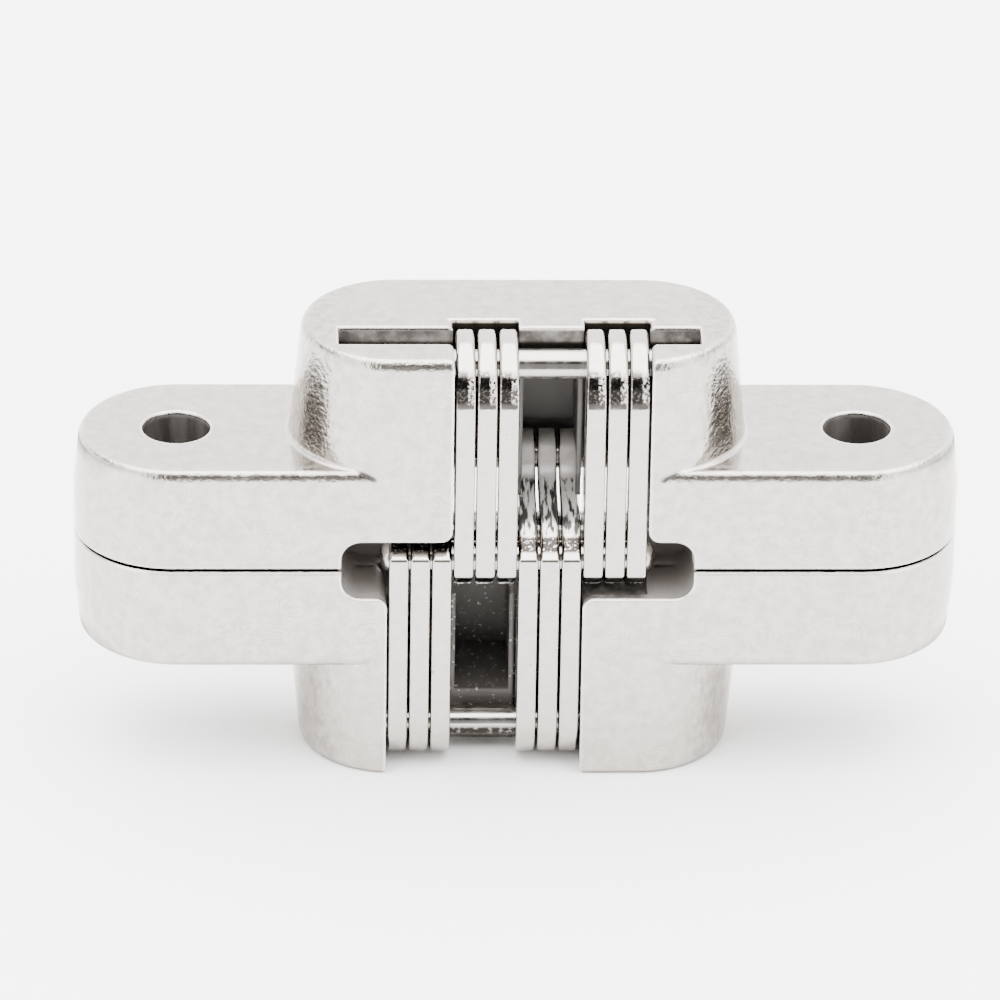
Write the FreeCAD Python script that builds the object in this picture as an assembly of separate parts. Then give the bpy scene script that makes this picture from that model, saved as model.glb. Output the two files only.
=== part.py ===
import FreeCAD
import Part
import math
import os

# Concealed mortise hinge: two like cast leaves, twelve steel link laminations and five pins.
# Sizes are in millimetres. X runs along the pins, +Y points to the side round which the hinge
# opens, and +Z to the mortise end of the upper leaf. The origin is the middle of the shut hinge,
# on its parting plane. Places in the YZ plane are given as (across, height): the distance behind
# the front face and above the parting plane.

# Leaf castings
leaf_length = 70.0
ear_top_length = 69.3
leaf_width = 15.7
ear_thickness = 8.5
leaf_depth = 18.3
face_gap = 0.3
block_length = 36.0
block_top_length = 34.3
block_top_width = 14.8
block_edge = 0.75
ear_edge = 0.5
face_bevel = 0.3
edge_bands = 2
front_arc = 15.0

# Screw holes in the ears
screw_hole_spacing = 53.75
screw_hole_diameter = 5.45
countersink_diameter = 9.4
countersink_depth = 2.2

# Pins
pin_diameter = 2.4
pin_fit = 0.05
slider_pin_length = 27.0
fixed_pin_length = 26.4
centre_pin_length = 21.6
pin_chamfer = 0.25
rivet_dome = 0.6
rivet_tip_radius = 0.6

# Linkage
centre_across = 2.5
fixed_across = 12.5
fixed_height = 3.95
slider_across = 4.6
slider_inset = 2.45
opening_angle = 180.0
fold_share = 0.62

# Link laminations
lamination_thickness = 1.55
lamination_spacing = 1.7
group_size = 3
group_count = 4
arm_front = 0.3
arm_back = 7.2
waist_clearance = 0.4
elbow_across = 6.6
elbow_height = 1.6
head_margin = 0.15
head_front_radius = 4.5
head_back_radius = 1.5
head_foot_drop = 3.0
head_foot_radius = 3.0
waist_radius = 4.2
heel_height = 2.9
heel_radius = 2.1
tail_radius = 2.0
tail_slope = 68.0
tail_hollow = 2.6
neck_clearance = 0.3
neck_slant = 0.45
neck_radius = 1.05

# Pocket, mouth and channel in each leaf
side_clearance = 0.15
link_clearance = 0.25
front_wall = 0.9
back_lip_height = 3.0
mouth_half_length = 13.9
mouth_height = 2.55
mouth_reach = 7.5
mouth_end_radius = 1.6
wall_corner_radius = 0.9
cell_height = 14.0
cell_back_wall = 1.5
cell_side_wall = 0.4
pocket_corner_radius = 1.0
channel_width = 3.0
channel_half_length = 13.6
entry_half_length = 14.2
channel_fit_swing = 12.0

# Sizes that follow from the ones above
half_width = leaf_width / 2
face_height = face_gap / 2
leaf_top = face_height + leaf_depth
slider_height = leaf_top - slider_inset
ear_top = face_height + ear_thickness
pin_radius = pin_diameter / 2
group_spacing = group_size * lamination_spacing
pack_half_length = group_count * group_spacing / 2 + side_clearance / 2
slot_back = arm_back + link_clearance
pocket_back = fixed_across + tail_radius + link_clearance
channel_back = slider_across + channel_width / 2
OVER = 5.0
ALONG_PINS = FreeCAD.Vector(1, 0, 0)
MIDDLE = FreeCAD.Vector(0, 0, 0)


def point(across, height, x=0.0):
    """Point of the model at an (across, height) place and an X station."""
    return FreeCAD.Vector(x, across - half_width, height)


def turned(place, about, degrees):
    """Place turned about another one, backwards and down for a positive angle."""
    angle = math.radians(degrees)
    across = place[0] - about[0]
    height = place[1] - about[1]
    return (about[0] + across * math.cos(angle) + height * math.sin(angle),
            about[1] - across * math.sin(angle) + height * math.cos(angle))


def rounded_outline(corners):
    """Closed wire through (across, height, radius) corners, each rounded by its own arc."""
    starts = []
    middles = []
    ends = []
    count = len(corners)
    for index, (across, height, radius) in enumerate(corners):
        here = point(across, height)
        into = (point(*corners[index - 1][:2]) - here).normalize()
        out = (point(*corners[(index + 1) % count][:2]) - here).normalize()
        half = into.getAngle(out) / 2
        run = radius / math.tan(half)
        starts.append(here + into * run)
        ends.append(here + out * run)
        middles.append(here + (into + out).normalize() * (radius / math.sin(half) - radius))
    edges = []
    for index in range(count):
        if corners[index][2] > 0:
            edges.append(Part.Arc(starts[index], middles[index], ends[index]).toShape())
        edges.append(Part.makeLine(ends[index], starts[(index + 1) % count]))
    return Part.Wire(edges)


def slab(outline, x_start, x_end):
    """Solid between two X stations with the given outline in the YZ plane."""
    face = Part.Face(outline)
    face.translate(ALONG_PINS * x_start)
    return face.extrude(ALONG_PINS * (x_end - x_start))


def block(x_start, x_end, across_start, across_end, low, high):
    """Plain box between two X stations, two distances across and two heights."""
    corner = point(across_start, low, x_start)
    return Part.makeBox(x_end - x_start, across_end - across_start, high - low, corner)


def rod(radius, x_start, x_end, across, height):
    """Round bar along X."""
    return Part.makeCylinder(radius, x_end - x_start, point(across, height, x_start), ALONG_PINS)


def oval(length, width, inset, height):
    """Outline of a leaf at a height, drawn in by an inset: straight sides and half-round ends.

    Its front side lies in the leaf's front face, and a smaller width draws in the back side alone.
    Each end is a short arc at the front, which the links' slots may cut, and a long one behind.
    """
    radius = width / 2 - inset
    centre_y = (width - leaf_width) / 2
    end_x = (length - width) / 2

    def spot(side, angle):
        return FreeCAD.Vector(side * (end_x + radius * math.sin(math.radians(angle))),
                              centre_y - radius * math.cos(math.radians(angle)), height)

    edges = [Part.makeLine(spot(-1, 0), spot(1, 0)), Part.makeLine(spot(1, 180), spot(-1, 180))]
    for side in (-1, 1):
        edges.append(Part.Arc(spot(side, 0), spot(side, front_arc / 2), spot(side, front_arc)).toShape())
        edges.append(Part.Arc(spot(side, front_arc), spot(side, 90), spot(side, 180)).toShape())
    return Part.Wire(Part.sortEdges(edges)[0])


def edged_bar(length, top_length, top_width, low, waist, high, edge_radius):
    """Bar with the leaf's outline: upright to its waist, tapered above, its top edge rounded."""
    stages = [(length, leaf_width, 0, low), (length, leaf_width, 0, waist)]
    for band in range(edge_bands + 1):
        angle = math.pi / 2 * band / edge_bands
        stages.append((top_length, top_width, edge_radius * (1 - math.cos(angle)),
                       high - edge_radius * (1 - math.sin(angle))))
    layers = [Part.makeLoft([oval(*lower), oval(*upper)], True, True)
              for lower, upper in zip(stages, stages[1:])]
    return layers[0].multiFuse(layers[1:]).removeSplitter()


def slider_place(swing):
    """Place of a slider pin in its own leaf, as height above the face, at a swing of the hinge."""
    fixed = (fixed_across, -fixed_height)
    centre = turned((centre_across, 0.0), fixed, fold_share * swing)
    shut_arm = (centre[0] + slider_across - centre_across, centre[1] - slider_height)
    across, height = turned(shut_arm, centre, (1 - fold_share) * swing)
    return (across, -height)


def circle_through(first, second, third):
    """Centre and radius of the circle through three places."""
    arc = Part.Circle(point(*first), point(*second), point(*third))
    return arc.Center, arc.Radius


def channel():
    """Cutter for the slider pin's channel: an arc along the pin's path, open at the mortise end."""
    half_open = opening_angle / 2
    centre, radius = circle_through(slider_place(channel_fit_swing), slider_place(half_open),
                                    slider_place(opening_angle - channel_fit_swing))
    half = channel_width / 2
    to_shut = (point(*slider_place(0)) - centre).normalize()
    to_middle = (point(*slider_place(half_open)) - centre).normalize()
    to_open = (point(*slider_place(opening_angle)) - centre).normalize()
    outer = Part.Arc(centre + to_shut * (radius + half), centre + to_middle * (radius + half),
                     centre + to_open * (radius + half)).toShape()
    inner = Part.Arc(centre + to_open * (radius - half), centre + to_middle * (radius - half),
                     centre + to_shut * (radius - half)).toShape()
    past_open = FreeCAD.Vector(0, -to_open.z, to_open.y)
    open_cap = Part.Arc(centre + to_open * (radius + half), centre + to_open * radius + past_open * half,
                        centre + to_open * (radius - half)).toShape()
    past_shut = FreeCAD.Vector(0, to_shut.z, -to_shut.y)
    shut_cap = Part.Arc(centre + to_shut * (radius - half), centre + to_shut * radius + past_shut * half,
                        centre + to_shut * (radius + half)).toShape()
    bend = slab(Part.Wire([outer, open_cap, inner, shut_cap]), -channel_half_length, channel_half_length)
    entry = block(-entry_half_length, entry_half_length, slider_across - half, channel_back,
                  slider_height, leaf_top + OVER)
    return bend.fuse(entry)


def mouth():
    """Cutter for the recess in the leaf's face where the centre pin's ends lie."""
    box = block(-mouth_half_length, mouth_half_length, -OVER, mouth_reach,
                face_height - OVER, mouth_height)
    ends = []
    for edge in box.Edges:
        bounds = edge.BoundBox
        if bounds.YLength > mouth_reach and bounds.ZMin > mouth_height - 1e-4:
            ends.append(edge)
    return box.makeFillet(mouth_end_radius, ends)


def wall_corner(x, side):
    """Cutter that rounds a front wall's corner at the mouth; the wall lies to the given side."""
    far = x + side * wall_corner_radius
    low = mouth_height - OVER / 2
    high = mouth_height + wall_corner_radius
    piece = block(min(x - side, far), max(x - side, far), -OVER, mouth_reach, low, high)
    base = point(-2 * OVER, high, far)
    return piece.cut(Part.makeCylinder(wall_corner_radius, mouth_reach + 3 * OVER, base,
                                       FreeCAD.Vector(0, 1, 0)))


def pocket():
    """Cutters for the links: room for their heels and tails, the arms' slots and the window."""
    low = face_height - OVER
    high = leaf_top + OVER
    heel_top = heel_height + link_clearance
    tail_top = fixed_height + tail_radius + link_clearance
    slot_start = -group_spacing - side_clearance / 2
    heels = block(-pack_half_length, pack_half_length, front_wall, leaf_width + OVER, low,
                  back_lip_height)
    heels_deep = block(-pack_half_length, pack_half_length, front_wall, slot_back, low, heel_top)
    tails = slab(rounded_outline([(slot_back, low, 0), (pocket_back, low, 0),
                                  (pocket_back, tail_top, pocket_corner_radius), (slot_back, tail_top, 0)]),
                 -pack_half_length, pack_half_length)
    left_arms = block(slot_start, 0, -OVER, slot_back, low, high)
    right_arms = block(group_spacing, pack_half_length, -OVER, slot_back, low, high)
    window = block(0, group_spacing, -OVER, channel_back, low, high)
    cell = block(cell_side_wall, group_spacing - cell_side_wall, 0, leaf_width - cell_back_wall,
                 low, cell_height)
    corners = [wall_corner(slot_start, -1), wall_corner(pack_half_length, 1)]
    return [heels, heels_deep, tails, left_arms, right_arms, window, cell] + corners


def fixed_pin_seat():
    """Cutter for the fixed pin's seat, open to the leaf's face."""
    half = fixed_pin_length / 2 + pin_fit
    way_in = block(-half, half, fixed_across - pin_radius, fixed_across + pin_radius,
                   face_height - OVER, fixed_height)
    return way_in.fuse(rod(pin_radius, -half, half, fixed_across, fixed_height))


def screw_holes():
    """Cutters for the two screw holes, countersunk from the leaf's face."""
    cutters = []
    radius = screw_hole_diameter / 2
    for side in (-1, 1):
        x = side * screw_hole_spacing / 2
        cutters.append(Part.makeCylinder(radius, leaf_depth, FreeCAD.Vector(x, 0, face_height - OVER)))
        cutters.append(Part.makeCone(countersink_diameter / 2, radius, countersink_depth,
                                     FreeCAD.Vector(x, 0, face_height)))
    return cutters


def leaf():
    """Leaf casting, as the upper leaf lies: ears, block and all that is cut out of them."""
    bevel_top = face_height + face_bevel
    bevel = Part.makeLoft([oval(leaf_length, leaf_width, face_bevel, face_height),
                           oval(leaf_length, leaf_width, 0, bevel_top)], True, True)
    ears = edged_bar(leaf_length, ear_top_length, leaf_width, bevel_top, ear_top / 2, ear_top, ear_edge)
    body = edged_bar(block_length, block_top_length, block_top_width, bevel_top, ear_top, leaf_top,
                     block_edge)
    cutters = [mouth(), channel(), fixed_pin_seat()] + pocket() + screw_holes()
    return ears.multiFuse([bevel, body]).cut(cutters).removeSplitter()


def link_outline():
    """Outline of a link with its arm up: head, arm, elbow, neck and the heel at the centre pin."""
    tail = (fixed_across, -fixed_height)
    slope = math.radians(tail_slope)
    touch = (tail[0] - tail_radius * math.sin(slope), tail[1] - tail_radius * math.cos(slope))
    ledge_end = touch[0] - (-heel_height - touch[1]) / math.tan(slope)
    open_turn = -fold_share * opening_angle
    lip_outer = turned((leaf_width, -back_lip_height), tail, open_turn)
    lip_inner = turned((pocket_back, -back_lip_height), tail, open_turn)
    pin_shut = (fixed_across, fixed_height)
    pin_open = turned(pin_shut, (centre_across, 0.0), (1 - 2 * fold_share) * opening_angle)
    waist = pin_open[0] - pin_radius - waist_clearance
    top = leaf_top - head_margin
    return rounded_outline([
        (arm_front, top, head_front_radius),
        (arm_back, top, head_back_radius),
        (arm_back, slider_height - head_foot_drop, head_foot_radius),
        (waist, pin_open[1], waist_radius),
        (elbow_across, elbow_height, heel_radius),
        (lip_outer[0] - neck_slant, lip_outer[1] + neck_clearance, neck_radius),
        (lip_inner[0] - neck_clearance, lip_inner[1], 0),
        (tail[0], tail[1], 0),
        (touch[0], touch[1], 0),
        (ledge_end, -heel_height, tail_hollow),
        (arm_front, -heel_height, heel_radius)])


def lamination():
    """One link lamination at X = 0 with its arm up, bored for its three pins."""
    half = lamination_thickness / 2
    body = slab(link_outline(), -half, half)
    body = body.fuse(rod(tail_radius, -half, half, fixed_across, -fixed_height)).removeSplitter()
    bore = pin_radius + pin_fit
    bores = [rod(bore, -OVER, OVER, slider_across, slider_height),
             rod(bore, -OVER, OVER, centre_across, 0),
             rod(bore, -OVER, OVER, fixed_across, -fixed_height)]
    return body.cut(bores)


def straight_pin(length, across, height):
    """Pin with bevelled ends, centred on the hinge."""
    bar = rod(pin_radius, -length / 2, length / 2, across, height)
    rims = [edge for edge in bar.Edges if isinstance(edge.Curve, Part.Circle)]
    return bar.makeChamfer(pin_chamfer, rims)


def riveted_pin(length, across, height):
    """Pin with peened, tapering ends, centred on the hinge."""
    straight = length / 2 - rivet_dome
    bar = rod(pin_radius, -straight, straight, across, height)
    domes = []
    for side in (-1, 1):
        base = point(across, height, side * straight)
        domes.append(Part.makeCone(pin_radius, rivet_tip_radius, rivet_dome, base, ALONG_PINS * side))
    return bar.multiFuse(domes).removeSplitter()


def turned_over(shape):
    """The same piece on the other leaf: half a turn about the hinge's Y axis."""
    other = shape.copy()
    other.rotate(MIDDLE, FreeCAD.Vector(0, 1, 0), 180)
    return other


def link_stations():
    """X stations of the upper links: the second and the last group, counted from -X."""
    stations = []
    for group in (1, 3):
        for number in range(group_size):
            column = group * group_size + number
            stations.append((column - (group_count * group_size - 1) / 2) * lamination_spacing)
    return stations


def main():
    """Build every piece and write one file for each."""
    upper_leaf = leaf()
    upper_slider = straight_pin(slider_pin_length, slider_across, slider_height)
    upper_fixed = straight_pin(fixed_pin_length, fixed_across, fixed_height)
    pieces = {
        "upper_leaf": upper_leaf,
        "lower_leaf": turned_over(upper_leaf),
        "upper_slider_pin": upper_slider,
        "lower_slider_pin": turned_over(upper_slider),
        "upper_fixed_pin": upper_fixed,
        "lower_fixed_pin": turned_over(upper_fixed),
        "centre_pin": riveted_pin(centre_pin_length, centre_across, 0),
    }
    pattern = lamination()
    for number, x in enumerate(link_stations(), start=1):
        upper_link = pattern.copy()
        upper_link.translate(ALONG_PINS * x)
        pieces["upper_link_%d" % number] = upper_link
        pieces["lower_link_%d" % number] = turned_over(upper_link)
    os.makedirs("parts", exist_ok=True)
    for name, shape in pieces.items():
        shape.exportStep("parts/%s.step" % name)


main()
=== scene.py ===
import math

import bmesh
import bpy
import numpy as np
from mathutils import Matrix, Vector
from mathutils.geometry import tessellate_polygon


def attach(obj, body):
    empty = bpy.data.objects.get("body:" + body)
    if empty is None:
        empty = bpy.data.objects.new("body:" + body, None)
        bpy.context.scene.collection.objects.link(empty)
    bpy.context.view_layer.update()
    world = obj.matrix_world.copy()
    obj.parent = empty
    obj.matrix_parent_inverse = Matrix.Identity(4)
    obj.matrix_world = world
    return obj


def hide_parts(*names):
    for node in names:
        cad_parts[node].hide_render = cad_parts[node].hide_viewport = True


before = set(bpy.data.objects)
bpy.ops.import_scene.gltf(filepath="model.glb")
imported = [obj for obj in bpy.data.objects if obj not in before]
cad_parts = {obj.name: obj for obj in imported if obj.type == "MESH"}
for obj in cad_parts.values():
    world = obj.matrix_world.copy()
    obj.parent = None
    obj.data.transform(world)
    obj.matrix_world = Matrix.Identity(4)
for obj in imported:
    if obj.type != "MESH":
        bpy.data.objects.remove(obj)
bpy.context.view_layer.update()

# Looks of a concealed mortise hinge: bright plated castings, stamped laminations with rolled
# edges, and steel pins. Sizes are in millimetres and turned into metres where a mesh is made.
# Places in the YZ plane are (across, height): behind the front face and above the parting plane.

MM = 0.001

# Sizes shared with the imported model
half_width = 7.85
leaf_top = 18.45
face_height = 0.15
centre_pin_place = (2.5, 0.0)
fixed_pin_place = (12.5, 3.95)
slider_pin_place = (4.6, 16.0)
pin_radius = 1.2
bore_radius = 1.25
screw_hole_station = 26.875
screw_hole_radius = 2.725
countersink_radius = 4.7
countersink_depth = 2.2
ear_top = 8.65
ear_length = 70.0
ear_top_length = 69.3
ear_end_station = 27.15
block_length = 36.0
block_top_length = 34.3
block_top_width = 14.8
block_end_station = 10.15
block_top_end_station = 9.75
block_top_radius = 7.4
entry_half_width = 1.5
channel_half_width = 1.38
slot_corner_radius = 0.5
group_spacing = 5.1
pack_half_length = 10.275
left_slot_wall = -5.175
slot_depth = 7.45
window_depth = 6.1
fold_share = 0.62

# Rims of the leaves
face_rim = 0.12
ear_rim_across = 0.5
ear_rim_height = 0.95
block_rim_across = 0.55
block_rim_height = 1.0
blend_radius = 0.3

# Laminations
lamination_thickness = 1.55
lamination_pitch = 1.7
lamination_stations = (-4.25, -2.55, -0.85, 5.95, 7.65, 9.35)
edge_reach_across = 0.15
edge_reach_inward = 0.20
end_reach = 2.6
tail_radius = 2.0
link_corners = (
    (0.3, 18.3, 4.5),
    (7.2, 18.3, 1.5),
    (7.2, 13.0, 3.0),
    (5.486, 9.725, 4.2),
    (6.6, 1.6, 2.1),
    (9.989, -1.024, 1.05),
    (10.488, -2.208, 0.4),
    (10.99, -2.64, 0.02),
)
hollow_corners = (
    (9.919, -2.9, 2.6),
    (3.2, -2.9, 1.5),
    (1.15, -1.45, 0.25),
    (0.3, -0.75, 0.4),
)
tail_tangents = (139.1, 90.0, 0.0, -90.0, -158.0)


def place(points, x):
    """Metres from (across, height) rows in millimetres at stations x along the pins."""
    points = np.asarray(points, dtype=float)
    x = np.broadcast_to(np.asarray(x, dtype=float), points.shape[:-1])
    return np.stack([x, points[..., 0] - half_width, points[..., 1]], axis=-1) * MM


def tail_corners():
    """Corners of the tangents round the tail's disc: each lies between two tangent directions."""
    angles = np.radians(tail_tangents)
    middle = (angles[:-1] + angles[1:]) / 2
    reach = tail_radius / np.cos((angles[:-1] - angles[1:]) / 2)
    across = fixed_pin_place[0] + reach * np.cos(middle)
    height = -fixed_pin_place[1] + reach * np.sin(middle)
    return [(a, h, tail_radius) for a, h in zip(across, height)]


def rounded_path(corners, step):
    """Points and outward normals of a closed path: straight runs joined by an arc at each corner.

    A corner's arc starts and ends at its radius times the tangent of half its turn from it.
    """
    spots = np.array([corner[:2] for corner in corners])
    radii = np.array([corner[2] for corner in corners])
    into = spots - np.roll(spots, 1, axis=0)
    into /= np.linalg.norm(into, axis=1)[:, None]
    out = np.roll(into, -1, axis=0)
    turn = np.arctan2(into[:, 0] * out[:, 1] - into[:, 1] * out[:, 0], (into * out).sum(axis=1))
    run = radii * np.tan(np.abs(turn) / 2)
    starts = spots - into * run[:, None]
    ends = spots + out * run[:, None]
    left = np.stack([-into[:, 1], into[:, 0]], axis=1)
    centres = starts + left * (np.sign(turn) * radii)[:, None]
    points = []
    normals = []
    for index in range(len(corners)):
        count = max(3, int(abs(turn[index]) * radii[index] / step) + 3)
        angle = np.linspace(0, turn[index], count)
        spoke = starts[index] - centres[index]
        swept = np.stack([spoke[0] * np.cos(angle) - spoke[1] * np.sin(angle),
                          spoke[0] * np.sin(angle) + spoke[1] * np.cos(angle)], axis=1)
        heading = np.arctan2(into[index, 1], into[index, 0]) + angle
        points.append(centres[index] + swept)
        normals.append(np.stack([-np.sin(heading), np.cos(heading)], axis=1))
        ahead = starts[(index + 1) % len(corners)] - ends[index]
        length = np.linalg.norm(ahead)
        between = np.linspace(0, 1, max(2, int(length / (4 * step)) + 1))[1:-1]
        points.append(ends[index] + between[:, None] * ahead)
        side = np.array([-out[index, 1], out[index, 0]])
        normals.append(np.broadcast_to(side, (len(between), 2)))
    return np.concatenate(points), np.concatenate(normals)


def grid_faces(rows, columns, close_rows, offset):
    """Quads of a grid of vertices, joined up round its rows if close_rows is set."""
    row = np.arange(rows if close_rows else rows - 1)[:, None]
    column = np.arange(columns - 1)[None, :]
    after = (row + 1) % rows
    quads = [row * columns + column, row * columns + column + 1,
             after * columns + column + 1, after * columns + column]
    return np.stack(np.broadcast_arrays(*quads), axis=-1).reshape(-1, 4) + offset


def make_piece(name, vertices, faces, material, body, node):
    """Object from vertices in metres, riding on a body in the place of a node of the model."""
    mesh = bpy.data.meshes.new(name)
    mesh.from_pydata(vertices.tolist(), [], [list(face) for face in faces])
    work = bmesh.new()
    work.from_mesh(mesh)
    bmesh.ops.remove_doubles(work, verts=work.verts, dist=1e-7)
    bmesh.ops.recalc_face_normals(work, faces=work.faces)
    work.to_mesh(mesh)
    work.free()
    return finish_piece(name, mesh, material, body, node)


def finish_piece(name, mesh, material, body, node, sharp=38.0):
    """Links a mesh as a smooth-shaded piece with creases kept, on its body, and hides the node it replaces.
    """
    mesh.shade_smooth()
    mesh.set_sharp_from_angle(angle=math.radians(sharp))
    mesh.materials.clear()
    mesh.materials.append(material)
    piece = bpy.data.objects.new(name, mesh)
    bpy.context.scene.collection.objects.link(piece)
    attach(piece, body)
    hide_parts(node)
    return piece


def lamination(name, x, upper, seed, material, body, node):
    """Stamped plate: its outline carried across the thickness, with both rims rolled over.

    Across the plate the outline moves inwards by a quarter ellipse at each rim, which is wider on
    the ends than on the front and back. The two sides are flat faces with the three bores in them.
    """
    corners = list(link_corners) + tail_corners() + list(hollow_corners)
    outline, normals = rounded_path(corners, 0.16)
    waver = np.random.default_rng(seed)
    along = np.linspace(0, 2 * np.pi, len(outline), endpoint=False)
    wander = sum(waver.normal(0, 0.012) * np.sin(k * along + waver.uniform(0, 6.28)) for k in range(3, 14))
    half = lamination_thickness / 2
    angle = np.linspace(0, np.pi / 2, 7)
    reach = 1 + (end_reach - 1) * np.abs(normals[:, 1]) ** 3
    reach = (reach * (1 + wander))[:, None]
    inset = edge_reach_inward * (1 - np.cos(angle)) * reach
    station = half - edge_reach_across * (1 - np.sin(angle)) * reach
    inset = np.concatenate([inset[:, ::-1], inset], axis=1)
    across_plate = np.concatenate([-station[:, ::-1], station], axis=1)
    rim = outline[:, None, :] - normals[:, None, :] * inset[..., None]
    sheets = [place(rim, across_plate).reshape(-1, 3)]
    columns = across_plate.shape[1]
    faces = [grid_faces(len(outline), columns, True, 0)]
    bores = [slider_pin_place, centre_pin_place, (fixed_pin_place[0], -fixed_pin_place[1])]
    sweep = np.linspace(0, 2 * np.pi, 40, endpoint=False)
    circle = np.stack([np.cos(sweep), np.sin(sweep)], axis=1) * bore_radius
    triangles = []
    for spot in bores:
        ring = np.repeat((np.array(spot) + circle)[:, None, :], 2, axis=1)
        faces.append(grid_faces(len(circle), 2, True, sum(len(sheet) for sheet in sheets)))
        ends = np.broadcast_to([-half, half], ring.shape[:-1])
        sheets.append(place(ring, ends).reshape(-1, 3))
    vertices = np.concatenate(sheets)
    for side, column in ((-half, 0), (half, columns - 1)):
        rim_index = np.arange(len(outline)) * columns + column
        loops = [rim_index]
        start = len(outline) * columns
        for number in range(len(bores)):
            loops.append(start + number * 2 * len(circle) + np.arange(len(circle)) * 2 + (side > 0))
        shapes = [[Vector((vertices[i][1], vertices[i][2], 0)) for i in loop] for loop in loops]
        order = np.concatenate(loops)
        triangles += [[order[i] for i in triangle] for triangle in tessellate_polygon(shapes)]
    if not upper:
        vertices = vertices * (-1, 1, -1)
        vertices[:, 0] -= x * MM
    else:
        vertices[:, 0] += x * MM
    all_faces = [face.tolist() for face in np.concatenate(faces)] + triangles
    return make_piece(name, vertices, all_faces, material, body, node)


def pin(name, profile, spot, side, material, body, node):
    """Turned pin: a profile of (station, radius) from its middle to its end, spun and mirrored."""
    profile = np.array(profile)
    profile = np.concatenate([(profile * (-1, 1))[::-1], profile])
    sweep = np.linspace(0, 2 * np.pi, 56, endpoint=False)
    ring = profile[:, 1][None, :, None] * np.stack([np.cos(sweep), np.sin(sweep)], axis=1)[:, None, :]
    points = np.array([spot[0], side * spot[1]]) + ring
    vertices = place(points, np.broadcast_to(profile[:, 0], points.shape[:-1])).reshape(-1, 3)
    faces = grid_faces(len(sweep), len(profile), True, 0).tolist()
    count = len(profile)
    for column in (0, count - 1):
        faces.append([row * count + column for row in range(len(sweep))])
    return make_piece(name, vertices, faces, material, body, node)


class Shading:
    """Small helper that adds nodes to a material and links them."""

    def __init__(self, name):
        self.material = bpy.data.materials.new(name)
        self.material.use_nodes = True
        self.tree = self.material.node_tree
        self.shader = self.tree.nodes["Principled BSDF"]
        self.coordinates = self.add("ShaderNodeTexCoord").outputs["Object"]

    def add(self, kind, **settings):
        """New node of a kind, with its settings."""
        node = self.tree.nodes.new(kind)
        for key, value in settings.items():
            setattr(node, key, value)
        return node

    def feed(self, socket, value):
        """Links a socket to an output, or sets its own value."""
        if isinstance(value, bpy.types.NodeSocket):
            self.tree.links.new(value, socket)
        else:
            socket.default_value = value

    def math(self, operation, *values):
        """One sum on one, two or three values."""
        node = self.add("ShaderNodeMath", operation=operation)
        for socket, value in zip(node.inputs, values):
            self.feed(socket, value)
        return node.outputs[0]

    def ramp(self, value, low, high, to_low=0.0, to_high=1.0):
        """Smooth step from one value to another between two limits, falling if the first is higher."""
        node = self.add("ShaderNodeMapRange", interpolation_type="SMOOTHSTEP")
        for socket, given in zip(node.inputs, (value, low, high, to_low, to_high)):
            self.feed(socket, given)
        return node.outputs[0]

    def straight_ramp(self, value, low, high, to_low, to_high):
        """Straight rise from one value to another between two limits."""
        node = self.add("ShaderNodeMapRange", interpolation_type="LINEAR")
        for socket, given in zip(node.inputs, (value, low, high, to_low, to_high)):
            self.feed(socket, given)
        return node.outputs[0]

    def noise(self, scale, detail=2.0, roughness=0.5, stretch=None, distortion=0.0):
        """Cloudy noise on the object coordinates, which may be stretched first."""
        node = self.add("ShaderNodeTexNoise")
        source = self.coordinates
        if stretch is not None:
            mapping = self.add("ShaderNodeMapping")
            self.feed(mapping.inputs["Vector"], self.coordinates)
            mapping.inputs["Scale"].default_value = stretch
            source = mapping.outputs[0]
        self.feed(node.inputs["Vector"], source)
        for key, value in (("Scale", scale), ("Detail", detail), ("Roughness", roughness),
                           ("Distortion", distortion)):
            node.inputs[key].default_value = value
        return node.outputs["Fac"]

    def colour_mix(self, factor, first, second):
        """First colour at 0, second at 1."""
        node = self.add("ShaderNodeMix", data_type="RGBA")
        self.feed(node.inputs["Factor"], factor)
        for socket, value in ((node.inputs[6], first), (node.inputs[7], second)):
            self.feed(socket, value)
        return node.outputs[2]

    def bump(self, height, distance, strength=1.0, under=None):
        """Normals of a relief of this height laid over other normals."""
        node = self.add("ShaderNodeBump")
        node.inputs["Strength"].default_value = strength
        node.inputs["Distance"].default_value = distance
        self.feed(node.inputs["Height"], height)
        if under is not None:
            self.feed(node.inputs["Normal"], under)
        return node.outputs[0]

    def rounded(self, radius):
        """Normals as if every sharp edge had this radius."""
        node = self.add("ShaderNodeBevel", samples=4)
        node.inputs["Radius"].default_value = radius
        return node.outputs[0]

    def rim_burnish_and_highlight(self, rounded):
        """1 where the rounded normal leaves the true one: on the rims, which are burnished and given a
        painted highlight.
        """
        true = self.add("ShaderNodeNewGeometry").outputs["Normal"]
        likeness = self.add("ShaderNodeVectorMath", operation="DOT_PRODUCT")
        self.feed(likeness.inputs[0], rounded)
        self.feed(likeness.inputs[1], true)
        return self.ramp(likeness.outputs["Value"], 0.995, 0.93)

    def finish(self, colour, metallic, roughness, normal):
        """Feeds the shader and gives the material."""
        self.feed(self.shader.inputs["Base Color"], colour)
        self.feed(self.shader.inputs["Metallic"], metallic)
        self.feed(self.shader.inputs["Roughness"], roughness)
        self.feed(self.shader.inputs["Normal"], normal)
        return self.material


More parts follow.
